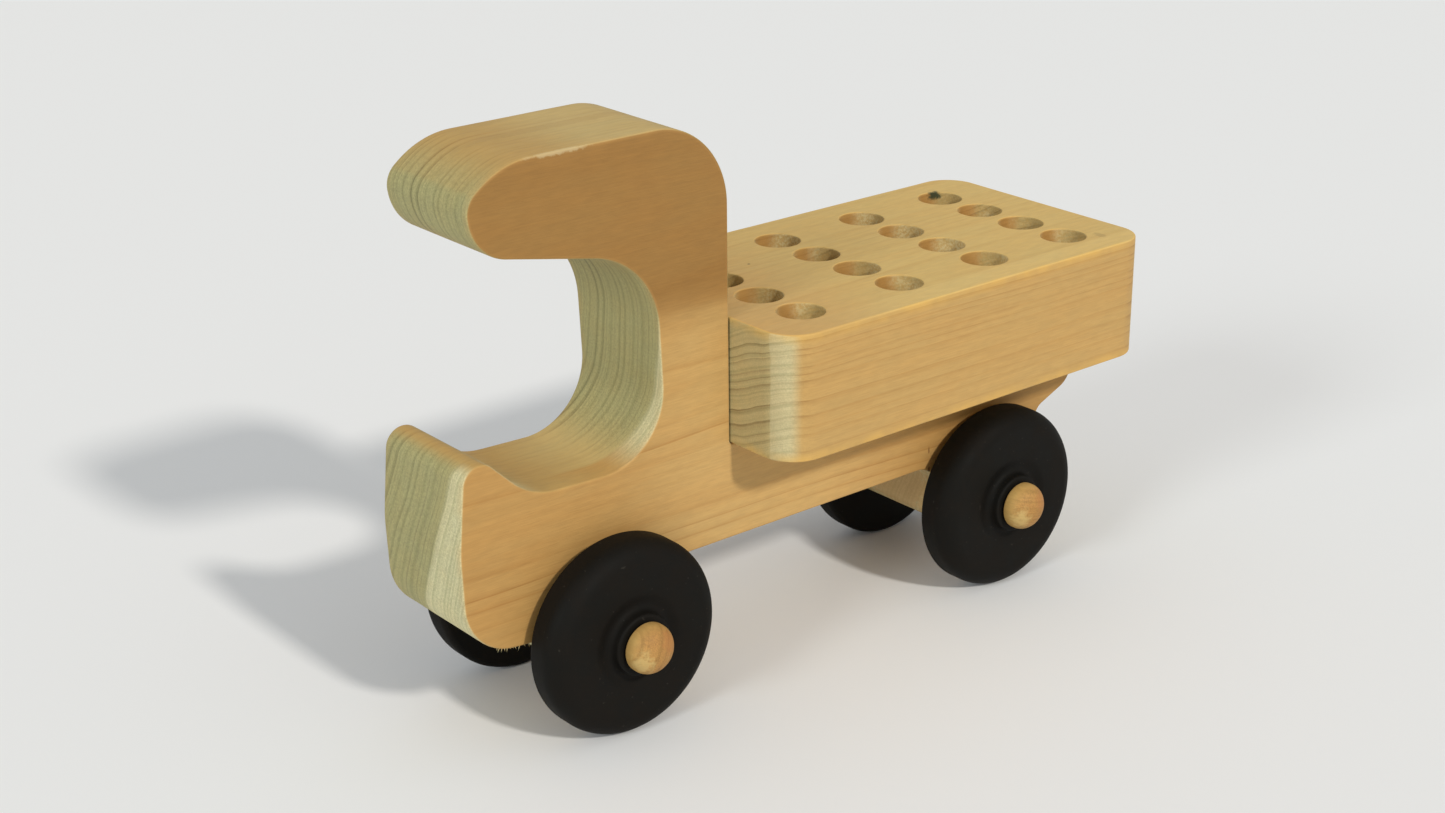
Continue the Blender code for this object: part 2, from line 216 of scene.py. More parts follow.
class Graph:
    """A material whose nodes are added by short calls. A value that is fed to one is a number, a
    colour or a socket."""

    def __init__(self, name):
        self.material = bpy.data.materials.new(name)
        self.material.use_nodes = True
        self.tree = self.material.node_tree
        self.shader = self.tree.nodes["Principled BSDF"]

    def add(self, kind, inputs=(), **settings):
        node = self.tree.nodes.new(kind)
        for setting, value in settings.items():
            setattr(node, setting, value)
        for key, value in dict(inputs).items():
            self.feed(node.inputs[key], value)
        return node

    def feed(self, socket, value):
        if isinstance(value, bpy.types.NodeSocket):
            self.tree.links.new(value, socket)
        elif isinstance(value, tuple) and socket.type == "RGBA":
            socket.default_value = (*value[:3], 1.0)
        else:
            socket.default_value = value

    def math(self, operation, first, second=0.0, third=0.0, clamp=False):
        inputs = {0: first, 1: second, 2: third}
        return self.add("ShaderNodeMath", inputs, operation=operation, use_clamp=clamp).outputs[0]

    def vector(self, operation, first, second=(0, 0, 0), scale=1.0):
        inputs = {0: first, 1: second}
        node = self.add("ShaderNodeVectorMath", inputs, operation=operation)
        if operation == "SCALE":
            self.feed(node.inputs["Scale"], scale)
        return node.outputs["Value" if operation in ("LENGTH", "DISTANCE", "DOT_PRODUCT") else 0]

    def noise(self, place, size, detail=2.0, roughness=0.5, color=False):
        """Noise whose features are about as large as size, a length or one along each axis."""
        stretch = tuple(1 / s for s in size) if isinstance(size, tuple) else (1 / size,) * 3
        moved = self.vector("MULTIPLY", place, stretch)
        inputs = {"Vector": moved, "Scale": 1.0, "Detail": detail, "Roughness": roughness}
        node = self.add("ShaderNodeTexNoise", inputs)
        return node.outputs["Color" if color else "Fac"]

    def noise_along(self, distance, size, detail=1.0):
        """Noise along one number."""
        inputs = {"W": distance, "Scale": 1 / size, "Detail": detail}
        return self.add("ShaderNodeTexNoise", inputs, noise_dimensions="1D").outputs["Fac"]

    def span(self, value, low, high, start=0.0, end=1.0, smooth=True):
        """value, taken from low..high to start..end and held there."""
        kind = "SMOOTHSTEP" if smooth else "LINEAR"
        inputs = {0: value, 1: low, 2: high, 3: start, 4: end}
        return self.add("ShaderNodeMapRange", inputs, interpolation_type=kind).outputs[0]

    def mix(self, factor, first, second, blend="MIX"):
        node = self.add("ShaderNodeMix", data_type="RGBA", blend_type=blend)
        self.feed(node.inputs["Factor"], factor)
        self.feed(node.inputs[6], first)
        self.feed(node.inputs[7], second)
        return node.outputs[2]

    def ramp(self, value, stops):
        """A curve through (position, level) stops."""
        node = self.add("ShaderNodeValToRGB", {0: value})
        node.color_ramp.interpolation = "EASE"
        band = node.color_ramp.elements
        while len(band) < len(stops):
            band.new(0.5)
        for element, (position, level) in zip(band, stops):
            element.position = position
            element.color = (level, level, level, 1.0)
        return node.outputs["Color"]

    def bump(self, height, distance, normal=None):
        inputs = {"Height": height, "Distance": distance, "Strength": 1.0}
        node = self.add("ShaderNodeBump", inputs)
        if normal is not None:
            self.feed(node.inputs["Normal"], normal)
        return node.outputs["Normal"]

    def finish(self, color, roughness, normal, specular):
        self.feed(self.shader.inputs["Base Color"], color)
        self.feed(self.shader.inputs["Roughness"], roughness)
        self.feed(self.shader.inputs["Normal"], normal)
        self.shader.inputs["Specular IOR Level"].default_value = specular
        return self.material


def srgb(red, green, blue):
    """A colour given as 0..255 display values, in scene-linear light."""
    linear = []
    for value in (red, green, blue):
        share = value / 255
        linear.append(share / 12.92 if share <= 0.04045 else ((share + 0.055) / 1.055) ** 2.4)
    return tuple(linear)


# ---------------------------------------------------------------- wood

# How the wood's masks are cut, as spans of a noise or of a normal's component
NOISE_CORE = (0.3, 0.7)  # where most of a noise's values lie
LEVEL_SPAN = (0.25, 0.9)  # how far a face looks up, from the side's colours to the top's
CARRIED_SPAN = (0.05, 0.4)  # how far a face looks along the grain before end rings show on it
FUZZ_SPAN = (0.1, 0.8)  # the same for the torn fibres on a drilled wall
FINE_BAND_SPAN = (0.45, 0.75)
END_BAND_SPAN = (0.4, 0.7)
STREAK_SPAN = (0.4, 0.75)
BLOTCH_SPAN = (0.35, 0.65)
PORE_SPAN = (0.62, 0.74)
PALE_SPAN = (0.4, 0.6)
TORN_SPAN = (0.38, 0.62)
FIBRE_SPAN = (0.2, 0.8)

# Growth rings
DRIFT_RINGS = 3.5  # how many rings pass before their spacing changes
DRIFT = 3.2  # how many rings that gains or loses
LATE_WOOD = [(0.0, 0.0), (0.55, 0.06), (0.8, 0.42), (0.92, 1.0), (1.0, 0.0)]  # (place, darkness)
FAINTEST_PATCH = 0.45  # what is left of a ring where it is faintest

# Details that every board shares
SAP_AND_LIT_RAGGED_SIZE = (60 * MM, 10 * MM, 10 * MM)
MOTTLE_SIZE = (5 * MM, 1.6 * MM, 1.6 * MM)
MOTTLE_DEPTH = 0.025
PALE_SIZE = 14 * MM
PALE_AMOUNT = (0.2, 0.7)
WEAR_SIZE = 9 * MM
LEAST_WEAR = 0.3
ROUGHNESS_VARIES = 0.08
PORE_RELIEF = 0.5
RING_RELIEF = -0.4
WOOD_SPECULAR = 0.25

STAIN_RAGGED_SIZE = 1.4 * MM
STAIN_RAGGED = 1.2
STAIN_EDGE = (0.5, 1.1)  # where a stain fades out, in half sizes from its centre


def wood(name, board):
    """A solid wood texture. board says where the pith runs, how wide the rings are, where the
    sapwood begins and what the colours are on faces that look sideways, up and along the grain."""
    g = Graph(name)
    place = g.add("ShaderNodeTexCoord").outputs["Object"]
    facing = g.add("ShaderNodeTexCoord").outputs["Normal"]
    if board["grain_axis"] == "Y":
        turn = {"Rotation": (0, 0, math.pi / 2)}
        place = g.add("ShaderNodeMapping", {"Vector": place, **turn}).outputs[0]
        facing = g.add("ShaderNodeMapping", {"Vector": facing, **turn}).outputs[0]
    way = g.add("ShaderNodeSeparateXYZ", {0: facing})
    lengthways = g.math("ABSOLUTE", way.outputs[0])
    end_grain = g.span(lengthways, board["end_from"], board["end_to"])
    level = g.span(g.math("ABSOLUTE", way.outputs[2]), *LEVEL_SPAN)

    wander = g.noise(place, board["wander_size"], 2.0, 0.4, color=True)
    wander = g.vector("SUBTRACT", wander, (0.5, 0.5, 0.5))
    wandered = g.vector("ADD", place, g.vector("SCALE", wander, scale=board["wander"]))
    ring, band, patchy = growth_rings(g, board, place, wandered)
    # Sapwood on the body and the pegs; on the bed the same mask paints a lit strip along its left
    # edge
    sap_and_lit = sapwood_and_lit_strip(g, board, place)
    fibre = g.noise(place, board["fibre_size"], 3.0, 0.6)
    pores = g.noise(place, board["pore_size"], 1.0, 0.5)

    # Faces along the grain
    place_x = g.add("ShaderNodeSeparateXYZ", {0: place}).outputs[0]
    # Towards the front and the rear the side takes a darker colour: painted shade where the light
    # falls off
    ahead = g.span(place_x, *board["falloff_span_ahead"])
    behind = g.span(place_x, *board["falloff_span_behind"])
    side = g.mix(g.math("MAXIMUM", ahead, behind), board["side_sap"], board["side_falloff_shade"])
    side = g.mix(sap_and_lit, board["side_heart"], side)
    top = g.mix(sap_and_lit, board["top_heart"], board["top_sap_and_lit"])
    # Towards the front the top takes its own colour; on the bed this darkens the top beside the
    # cab, painted shade of the cab
    top = g.mix(g.span(place_x, *board["top_span"]), top, board["top_warm"])
    along = g.mix(level, side, top)
    ring_shows = g.span(level, 0.0, 1.0, board["side_ring"], board["top_ring"])
    along = g.mix(g.math("MULTIPLY", ring, ring_shows), along, board["ring_tint"], "MULTIPLY")
    fine = g.span(band, *FINE_BAND_SPAN, 0.0, board["long_band"])
    along = g.mix(g.math("MULTIPLY", fine, patchy), along, board["ring_tint"], "MULTIPLY")
    streak = g.noise(wandered, board["streak_size"], 3.0, 0.55)
    soft_streak = g.span(streak, *STREAK_SPAN, 0.0, board["streak_depth"])
    along = g.mix(soft_streak, along, board["streak_tint"], "MULTIPLY")

    # Faces across the grain, and a few ring lines carried over the bends beside them
    # On the bed's front end the heartwood colour is the cab's painted shadow and the sapwood colour
    # a painted lit strip
    cut = g.mix(sap_and_lit, board["end_heart_and_shaded"], board["end_sap_and_lit"])
    cut = g.mix(g.span(band, *END_BAND_SPAN), cut, board["band_tint"], "MULTIPLY")
    ring_shows = g.span(sap_and_lit, 0.0, 1.0, board["end_ring"], board["sap_and_lit_ring"])
    cut = g.mix(g.math("MULTIPLY", ring, ring_shows), cut, board["end_tint"], "MULTIPLY")
    color = g.mix(end_grain, along, cut)
    carried = g.span(lengthways, *CARRIED_SPAN, 0.0, board["carried_ring"])
    carried = g.math("MULTIPLY", carried, g.math("SUBTRACT", 1.0, end_grain))
    color = g.mix(g.math("MULTIPLY", carried, ring), color, board["end_tint"], "MULTIPLY")

    blotch = g.noise(place, board["blotch_size"], 2.0, 0.5)
    tone = g.mix(g.span(blotch, *BLOTCH_SPAN), board["cool_tone"], board["warm_tone"])
    color = g.mix(1.0, color, tone, "MULTIPLY")
    grey = fibre_tone(g, board, place, end_grain, fibre, pores)
    color = g.mix(1.0, color, grey, "MULTIPLY")

    # Drilled walls are torn where the bit crossed the grain; eased edges are sanded paler, and that
    # paler rim is also a painted highlight
    drilled = g.add("ShaderNodeAttribute", attribute_name=DRILL_ATTRIBUTE).outputs["Fac"]
    torn = g.noise(place, board["torn_size"], 3.0, 0.65)
    fuzz = g.math("MULTIPLY", drilled, g.span(lengthways, *FUZZ_SPAN))
    pale = g.span(g.noise(place, PALE_SIZE, 1.0), *PALE_SPAN, *PALE_AMOUNT)
    color = g.mix(drilled, color, board["drilled_tint"], "MULTIPLY")
    torn_color = g.mix(g.span(torn, *TORN_SPAN), board["torn_dark"], board["torn_pale"])
    color = g.mix(g.math("MULTIPLY", fuzz, pale), color, torn_color)
    worn_and_lit = g.add("ShaderNodeAttribute", attribute_name=EDGE_ATTRIBUTE).outputs["Fac"]
    uneven = g.span(g.noise(place, WEAR_SIZE), *BLOTCH_SPAN, LEAST_WEAR, 1.0)
    worn_and_lit = g.math("MULTIPLY", worn_and_lit, uneven)
    color = g.mix(g.math("MULTIPLY", worn_and_lit, board["edge_wear_and_highlight_show"]), color, board["edge"])
    # Each mark is a stain, and on the pegs' heads painted light and shade
    for centre, half_size, tint, amount in board["marks"]:
        color = stain_and_light_spot(g, color, place, centre, half_size, tint, amount)

    smoothest = board["rough"] - ROUGHNESS_VARIES
    roughest = board["rough"] + ROUGHNESS_VARIES
    roughness = g.span(fibre, *FIBRE_SPAN, smoothest, roughest)
    relief = g.math("MULTIPLY_ADD", pores, PORE_RELIEF, fibre)
    relief = g.math("MULTIPLY_ADD", ring, RING_RELIEF, relief)
    normal = g.bump(relief, board["relief"])
    normal = g.bump(g.math("MULTIPLY", torn, fuzz), board["torn_relief"], normal)
    return g.finish(color, roughness, normal, WOOD_SPECULAR)


def growth_rings(g, board, place, wandered):
    """Dark rings about the pith, fine bands between them, and a mask of where both are faint."""
    radius = distance_from_line(g, wandered, board["pith"])
    pace = g.noise_along(radius, DRIFT_RINGS * board["ring"], 2.0)
    count = g.math("MULTIPLY_ADD", radius, 1 / board["ring"], g.math("MULTIPLY", pace, DRIFT))
    late = g.ramp(g.math("FRACT", count), LATE_WOOD)
    which = g.add("ShaderNodeTexWhiteNoise", {"W": g.math("FLOOR", count)}, noise_dimensions="1D")
    strength = g.math("POWER", which.outputs["Value"], board["ring_contrast"])
    strength = g.span(strength, 0.0, 1.0, board["faint_ring"], 1.0, smooth=False)
    patchy = g.span(g.noise(place, board["patch_size"]), *NOISE_CORE, FAINTEST_PATCH, 1.0)
    ring = g.math("MULTIPLY", g.math("MULTIPLY", late, strength), patchy)
    band = g.noise_along(radius, board["band_size"], 2.0)
    return ring, band, patchy


def sapwood_and_lit_strip(g, board, place):
    """0 in the heartwood and 1 in the sapwood, which meet raggedly about a circle. On the bed the
    circle is so large that its edge is a straight line, and the mask paints light: 1 on a lit strip
    along the left edge, 0 on the rest, where the front end beside the cab is painted shade.
    """
    radius = distance_from_line(g, place, board["sap_and_lit_centre"])
    ragged = g.math("SUBTRACT", g.noise(place, SAP_AND_LIT_RAGGED_SIZE, 2.0), 0.5)
    radius = g.math("MULTIPLY_ADD", ragged, board["sap_and_lit_wander"], radius)
    return g.span(radius, board["sap_and_lit_from"], board["sap_and_lit_to"])


def fibre_tone(g, board, place, end_grain, fibre, pores):
    """A grey to multiply a colour by: fibres and mottle lie about 1, and pores below it."""
    depth = g.span(end_grain, 0.0, 1.0, board["fibre_depth"], board["end_depth"])
    grey = g.math("MULTIPLY_ADD", g.span(fibre, *NOISE_CORE, -1.0, 1.0), depth, 1.0)
    mottle = g.noise(place, MOTTLE_SIZE, 1.0)
    mottle = g.span(mottle, *NOISE_CORE, 1 - MOTTLE_DEPTH, 1 + MOTTLE_DEPTH)
    grey = g.math("MULTIPLY", grey, mottle)
    depth = g.span(end_grain, 0.0, 1.0, board["pore_depth"], board["end_pore_depth"])
    dark = g.math("MULTIPLY", g.span(pores, *PORE_SPAN), depth)
    grey = g.math("MULTIPLY", grey, g.math("SUBTRACT", 1.0, dark))
    return g.add("ShaderNodeCombineXYZ", {0: grey, 1: grey, 2: grey}).outputs[0]


def distance_from_line(g, place, line):
    """How far place is from the line along X through (y, z)."""
    spokes = g.vector("SUBTRACT", place, (0, *line))
    return g.vector("LENGTH", g.vector("MULTIPLY", spokes, (0, 1, 1)))


def stain_and_light_spot(g, color, place, centre, half_size, tint, amount):
    """A ragged spot of another colour, an ellipsoid about centre."""
    offset = g.vector("SUBTRACT", place, centre)
    offset = g.vector("MULTIPLY", offset, tuple(1 / half for half in half_size))
    reach = g.vector("LENGTH", offset)
    ragged = g.math("SUBTRACT", g.noise(place, STAIN_RAGGED_SIZE, 2.0, 0.6), 0.5)
    reach = g.math("MULTIPLY_ADD", ragged, STAIN_RAGGED, reach)
    return g.mix(g.span(reach, *STAIN_EDGE, amount, 0.0), color, tint)


def mark(x, y, z, half_size_mm, tint, amount):
    """A spot for a board's marks, a stain or, on the pegs' heads, painted light and shade: its
    centre, half sizes, colour and how much it shows.
    """
    return (x, y, z), tuple(half * MM for half in half_size_mm), tint, amount


BODY_BOARD = {
    "grain_axis": "X",
    "pith": (-213 * MM, 145 * MM),
    "ring": 2.7 * MM,
    "ring_contrast": 1.8,
    "faint_ring": 0.06,
    "band_size": 1.3 * MM,
    "wander": 5 * MM,
    "wander_size": (170 * MM, 40 * MM, 40 * MM),
    "patch_size": (60 * MM, 25 * MM, 25 * MM),
    "fibre_size": (9 * MM, 0.45 * MM, 0.45 * MM),
    "streak_size": (120 * MM, 5 * MM, 5 * MM),
    "blotch_size": (26 * MM, 9 * MM, 9 * MM),
    "pore_size": (4 * MM, 0.3 * MM, 0.3 * MM),
    "sap_and_lit_centre": (-213 * MM, 145 * MM),
    "sap_and_lit_from": 232.7 * MM,
    "sap_and_lit_to": 235.2 * MM,
    "sap_and_lit_wander": 1.6 * MM,
    "end_from": 0.15,
    "end_to": 0.9,
    "side_heart": srgb(154, 115, 61),
    "side_sap": srgb(198, 161, 101),
    # The side's colour at its front and rear: painted shade where the light falls off
    "side_falloff_shade": srgb(185, 144, 84),
    "top_heart": srgb(196, 170, 111),
    "top_sap_and_lit": srgb(192, 152, 90),
    "top_warm": srgb(188, 154, 92),
    "end_heart_and_shaded": srgb(170, 162, 112),
    "end_sap_and_lit": srgb(209, 201, 156),
    "ring_tint": (0.7, 0.55, 0.4),
    "side_ring": 1.0,
    "top_ring": 0.3,
    "long_band": 0.14,
    # Where that painted shade comes in, towards the front and towards the rear
    "falloff_span_ahead": (32 * MM, 78 * MM),
    "falloff_span_behind": (-5 * MM, -60 * MM),
    "top_span": (66 * MM, 92 * MM),
    "streak_tint": (0.88, 0.84, 0.78),
    "streak_depth": 0.16,
    "band_tint": (0.82, 0.84, 0.81),
    "end_tint": (0.38, 0.36, 0.34),
    "end_ring": 0.7,
    "sap_and_lit_ring": 0.5,
    "carried_ring": 0.45,
    "cool_tone": (0.99, 1.0, 1.0),
    "warm_tone": (1.01, 0.99, 0.96),
    "fibre_depth": 0.04,
    "end_depth": 0.15,
    "pore_depth": 0.04,
    "end_pore_depth": 0.13,
    "torn_size": 0.8 * MM,
    "torn_dark": srgb(214, 180, 116),
    "torn_pale": srgb(232, 214, 160),
    "drilled_tint": (1.0, 0.87, 0.66),
    "torn_relief": 0.08 * MM,
    # The eased edges' paler rim: sanding wear and a painted highlight
    "edge": srgb(196, 150, 88),
    "edge_wear_and_highlight_show": 0.2,
    "rough": 0.62,
    "relief": 0.05 * MM,
    "marks": [
        # Two small dark brown dashes where the chassis meets the rear foot, and the foot's warmer
        # front
        mark(-52.1 * MM, HALF_PLANK, 48.3 * MM, (0.5, 1, 1.3), srgb(120, 80, 44), 0.7),
        mark(-52.4 * MM, HALF_PLANK, 41.4 * MM, (0.6, 1, 1.2), srgb(96, 60, 30), 0.8),
        mark(-57.0 * MM, 0.0, 31.0 * MM, (7, 27, 14), srgb(196, 152, 94), 0.65),
        # A pale bruise on the roof's left edge, and a darker band along the roof
        mark(86.0 * MM, HALF_PLANK, BODY_HIGH.z, (12, 1.2, 1.2), srgb(206, 188, 142), 0.55),
        mark(70.0 * MM, -3.0 * MM, BODY_HIGH.z, (48, 2.6, 4), srgb(164, 132, 80), 0.25),
    ],
}

BED_BOARD = {
    **BODY_BOARD,
    "pith": (75 * MM, -55 * MM),
    "side_ring": 0.45,
    "ring": 3.5 * MM,
    "ring_contrast": 0.5,
    "wander_size": (160 * MM, 17 * MM, 45 * MM),
    "faint_ring": 0.3,
    "end_from": 0.42,
    "end_to": 0.75,
    "sap_and_lit_ring": 0.3,
    "end_ring": 1.0,
    "end_tint": (0.46, 0.4, 0.34),
    "end_depth": 0.08,
    "end_pore_depth": 0.08,
    # Not sapwood but painted light: the circle is so large that its edge is a straight line about
    # 36 mm left of the middle; beyond it the front end and the top are painted lit, and the front
    # end beside the cab is painted shade
    "sap_and_lit_centre": (-1000 * MM, 90 * MM),
    "sap_and_lit_from": 1035.7 * MM,
    "sap_and_lit_to": 1036.3 * MM,
    "side_heart": srgb(186, 152, 98),
    "side_sap": srgb(191, 154, 94),
    "side_falloff_shade": srgb(191, 154, 94),
    # The top's colours: the strip along the left edge is a little paler, a painted highlight
    "top_heart": srgb(213, 180, 111),
    "top_sap_and_lit": srgb(218, 186, 117),
    # Darker towards the cab: painted shade of the cab on the bed's top
    "top_warm": srgb(208, 169, 105),
    "top_span": (-30 * MM, 20 * MM),
    # The bed's front end: darker beside the cab, the cab's painted shadow, and paler in the strip,
    # painted light
    "end_heart_and_shaded": srgb(190, 172, 122),
    "end_sap_and_lit": srgb(199, 184, 139),
    # The eased edges' paler rim: sanding wear and a painted highlight
    "edge": srgb(226, 180, 92),
    "edge_wear_and_highlight_show": 0.5,
    "marks": [
        # Green wax in the rearmost hole on the right, then a speck and a smudge on the top
        mark(-103.2 * MM, -33.0 * MM, 109.2 * MM, (3.2, 2.2, 2), srgb(28, 54, 38), 0.9),
        mark(-7.7 * MM, -15.1 * MM, BED_HIGH.z, (0.6, 0.5, 1), srgb(90, 70, 45), 0.8),
        mark(-109.3 * MM, 34.3 * MM, BED_HIGH.z, (1.8, 3, 1), srgb(150, 125, 80), 0.35),
    ],
}

PEG_WOOD = {
    **BODY_BOARD,
    "grain_axis": "Y",
    "ring": 1.9 * MM,
    "pith": (-60 * MM, -30 * MM),
    "sap_and_lit_centre": (0, 0),
    "sap_and_lit_from": 0.0,
    "sap_and_lit_to": 1 * MM,
    "wander": 1 * MM,
    "streak_depth": 0.1,
    "side_sap": srgb(180, 144, 82),
    "side_falloff_shade": srgb(180, 144, 82),
    "top_sap_and_lit": srgb(184, 148, 86),
    "top_warm": srgb(184, 148, 86),
    "end_sap_and_lit": srgb(176, 132, 74),
    "sap_and_lit_ring": 0.45,
    "side_ring": 0.5,
    "top_ring": 0.5,
    "cool_tone": (1.04, 1.06, 1.06),
    "warm_tone": (0.95, 0.91, 0.87),
}

# ---------------------------------------------------------------- paint

PAINT_CLOUD_SIZE = 9 * MM
PAINT_GRAIN_SIZE = 0.5 * MM
PAINT_GRAIN = 0.5  # its height beside the clouds' height of 1
PAINT_SPECK_SIZE = 0.9 * MM
PAINT_SPECK_SPAN = (0.80, 0.86)
PAINT_SPECK_SHOW = 0.4
PAINT_ROUGHNESS = (0.6, 0.7)
PAINT_RELIEF = 0.04 * MM
PAINT_SPECULAR = 0.1


def black_paint():
    """Matte black paint brushed over turned wood."""
    g = Graph("black_paint")
    place = g.add("ShaderNodeTexCoord").outputs["Object"]
    cloud = g.noise(place, PAINT_CLOUD_SIZE, 3.0, 0.6)
    grain = g.noise(place, PAINT_GRAIN_SIZE, 2.0, 0.6)
    color = g.mix(g.span(cloud, *BLOTCH_SPAN), srgb(18, 17, 14), srgb(22, 19, 15))
    speck = g.span(g.noise(place, PAINT_SPECK_SIZE, 0.0), *PAINT_SPECK_SPAN)
    color = g.mix(g.math("MULTIPLY", speck, PAINT_SPECK_SHOW), color, srgb(60, 56, 50))
    roughness = g.span(cloud, *NOISE_CORE, *PAINT_ROUGHNESS)
    relief = g.math("MULTIPLY_ADD", grain, PAINT_GRAIN, cloud)
    return g.finish(color, roughness, g.bump(relief, PAINT_RELIEF), PAINT_SPECULAR)


# ---------------------------------------------------------------- pieces

EASE = 0.6 * MM
EASE_STEPS = 5
EASE_VARIES = 0.2
SUPPORT = 0.4 * MM  # flat margin inside an edge, which keeps the face beside it smooth
SWAY = 0.03 * MM  # how far sanding leaves a wall off its flat, always inwards
ARC_STEP = math.radians(3)
BODY_STEP = 1.6 * MM
BODY_WALLS = 16
BORE_STEPS = 48
BED_STEP = 2.0 * MM
BED_WALLS = 14

# Lengths of the ripples in each wall and in its eased edges. A ripple's seed is any number.
BODY_SWAY_LENGTH = 14 * MM
BODY_EASE_LENGTH = 22 * MM
BED_SWAY_LENGTH = 16 * MM
BED_EASE_LENGTH = 25 * MM

# A few splinters hang from the lower left edge of the bumper's lip
SPLINTERS_FROM = 99 * MM
SPLINTERS_TO = 112 * MM
BUMPER_FOOT = 45 * MM
SPLINTER_LENGTH = 1.4 * MM
SPLINTER_WIDTH = 0.17 * MM
SPLINTER_USUAL = 0.8  # the usual share of that length; chance adds to it or takes from it
SPLINTER_LEAN = 1.5  # how far chance leans one forward or back
SPLINTER_OUT = 0.4  # how far they all lean out from the board
SPLINTER_CHANCE_LENGTH = 1.3 * MM


def make_body(material):
    """The body board: the profile's rings run across the plank, and each side is one flat cap
    round the axle bores."""
    corners = [(x * MM, z * MM, r * MM) for x, z, r in PROFILE_MM]
    outline = rounded_outline(corners, ARC_STEP, BODY_STEP)
    levels = ease_levels(EASE, EASE_STEPS)
    across = []  # (y, inset, wear), from the right side to the left
    across.append((-HALF_PLANK, EASE + SUPPORT, 0.0))
    across += [(-HALF_PLANK + fall, inset, 1.0) for inset, fall in levels]
    inner = HALF_PLANK - EASE
    across += [(inner * (2 * step / BODY_WALLS - 1), 0.0, 0.0) for step in range(1, BODY_WALLS)]
    across += [(HALF_PLANK - fall, inset, 1.0) for inset, fall in reversed(levels)]
    across.append((HALF_PLANK, EASE + SUPPORT, 0.0))

    shell = Shell()
    rings = []
    for y, inset, wear in across:
        ring = []
        for point, normal, room in outline:
            spot = Vector((CAB_BACK + point.x, y, point.y))
            out = Vector((normal.x, 0, normal.y))
            sway = SWAY * (ripple(spot, BODY_SWAY_LENGTH, 3.1) - 1)
            ease = inset * (1 + EASE_VARIES * ripple(spot, BODY_EASE_LENGTH, 8.7))
            ease = min(ease, room)
            ring.append(spot + out * (sway - ease))
        rings.append(shell.ring(ring, wear))
    # The outline runs counter-clockwise seen from -Y, so rings rise towards +Y the other way round
    shell.loft(rings[::-1])
    margins = {-1: [], 1: []}
    for x, z in axle_places():
        rims = []
        for side in (-1, 1):
            centre = Vector((x, side * HALF_PLANK, z))
            rim = shell.ring(round_points(centre, BORE_RADIUS, BORE_STEPS))
            margin = shell.ring(round_points(centre, BORE_RADIUS + SUPPORT, BORE_STEPS))
            margins[side].append(margin)
            rims += [margin, rim] if side < 0 else [rim, margin]
        shell.loft(rims)
    shell.cap(rings[0], margins[-1], Vector((0, -1, 0)))
    shell.cap(rings[-1], margins[1], Vector((0, 1, 0)))
    for point, normal, _ in outline:
        x = CAB_BACK + point.x
        if SPLINTERS_FROM < x < SPLINTERS_TO and point.y < BUMPER_FOOT:
            out = Vector((normal.x, 0, normal.y))
            root = Vector((x, HALF_PLANK - EASE / 2, point.y)) - out * EASE / 2
            add_splinter(shell, root, out, ripple(root, SPLINTER_CHANCE_LENGTH, 6.1))
    return shell.build("body_board", material)


def add_splinter(shell, root, out, chance):
    """A thin sliver torn from an edge; chance, from -1 to 1, sets how long it is and its lean."""
    length = SPLINTER_LENGTH * (SPLINTER_USUAL + chance)
    lean = Vector((SPLINTER_LEAN * chance, SPLINTER_OUT, 0))
    tip = root + (out + lean).normalized() * length
    across = Vector((0, SPLINTER_WIDTH, 0))
    beside = out.cross(across)
    base = shell.ring([root + across, root - across / 2 + beside, root - across / 2 - beside])
    shell.fan(base, tip, False)
    shell.faces.append(tuple(base))


def axle_places():
    """The x and z of the front axle and of the rear one."""
    for node in ("wheel_front_left", "wheel_rear_left"):
        low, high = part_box(node)
        yield (low.x + high.x) / 2, (low.z + high.z) / 2


def round_points(centre, radius, count):
    """A circle in the XZ plane, counter-clockwise seen from -Y."""
    points = []
    for step in range(count):
        angle = math.tau * step / count
        points.append(centre + Vector((radius * math.cos(angle), 0, radius * math.sin(angle))))
    return points


# Painted light and shade on a peg's domed head: how far ahead of the axle and above it, then as for
# mark()
HEAD_PAINTED_LIGHT = [
    (6.5 * MM, -3 * MM, (5, 4.8, 6), srgb(200, 174, 112), 0.65),  # pale, low in front: painted light
    (-4 * MM, 3 * MM, (5, 4, 4.6), srgb(176, 118, 66), 0.5),  # redder, high behind: painted shade
]


def peg_painted_light():
    """The painted light and shade on the four pegs' heads. The pegs' texture is turned a quarter,
    so its first axis runs along a peg."""
    marks = []
    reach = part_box("axle_peg_front_left")[1].y
    for x, z in axle_places():
        for side in (-1, 1):
            for ahead, above, half_size_mm, tint, amount in HEAD_PAINTED_LIGHT:
                marks.append(mark(-side * reach, x + ahead, z + above, half_size_mm, tint, amount))
    return marks


def hole_places():
    """The axis of each crayon hole where it meets the bed's top."""
    for opening in frame["record"]["physics"]["openings"]:
        if opening["name"].startswith("crayon_hole"):
            low, high = opening["box_m"]
            yield Vector(((low[0] + high[0]) / 2, (low[1] + high[1]) / 2, BED_HIGH.z))


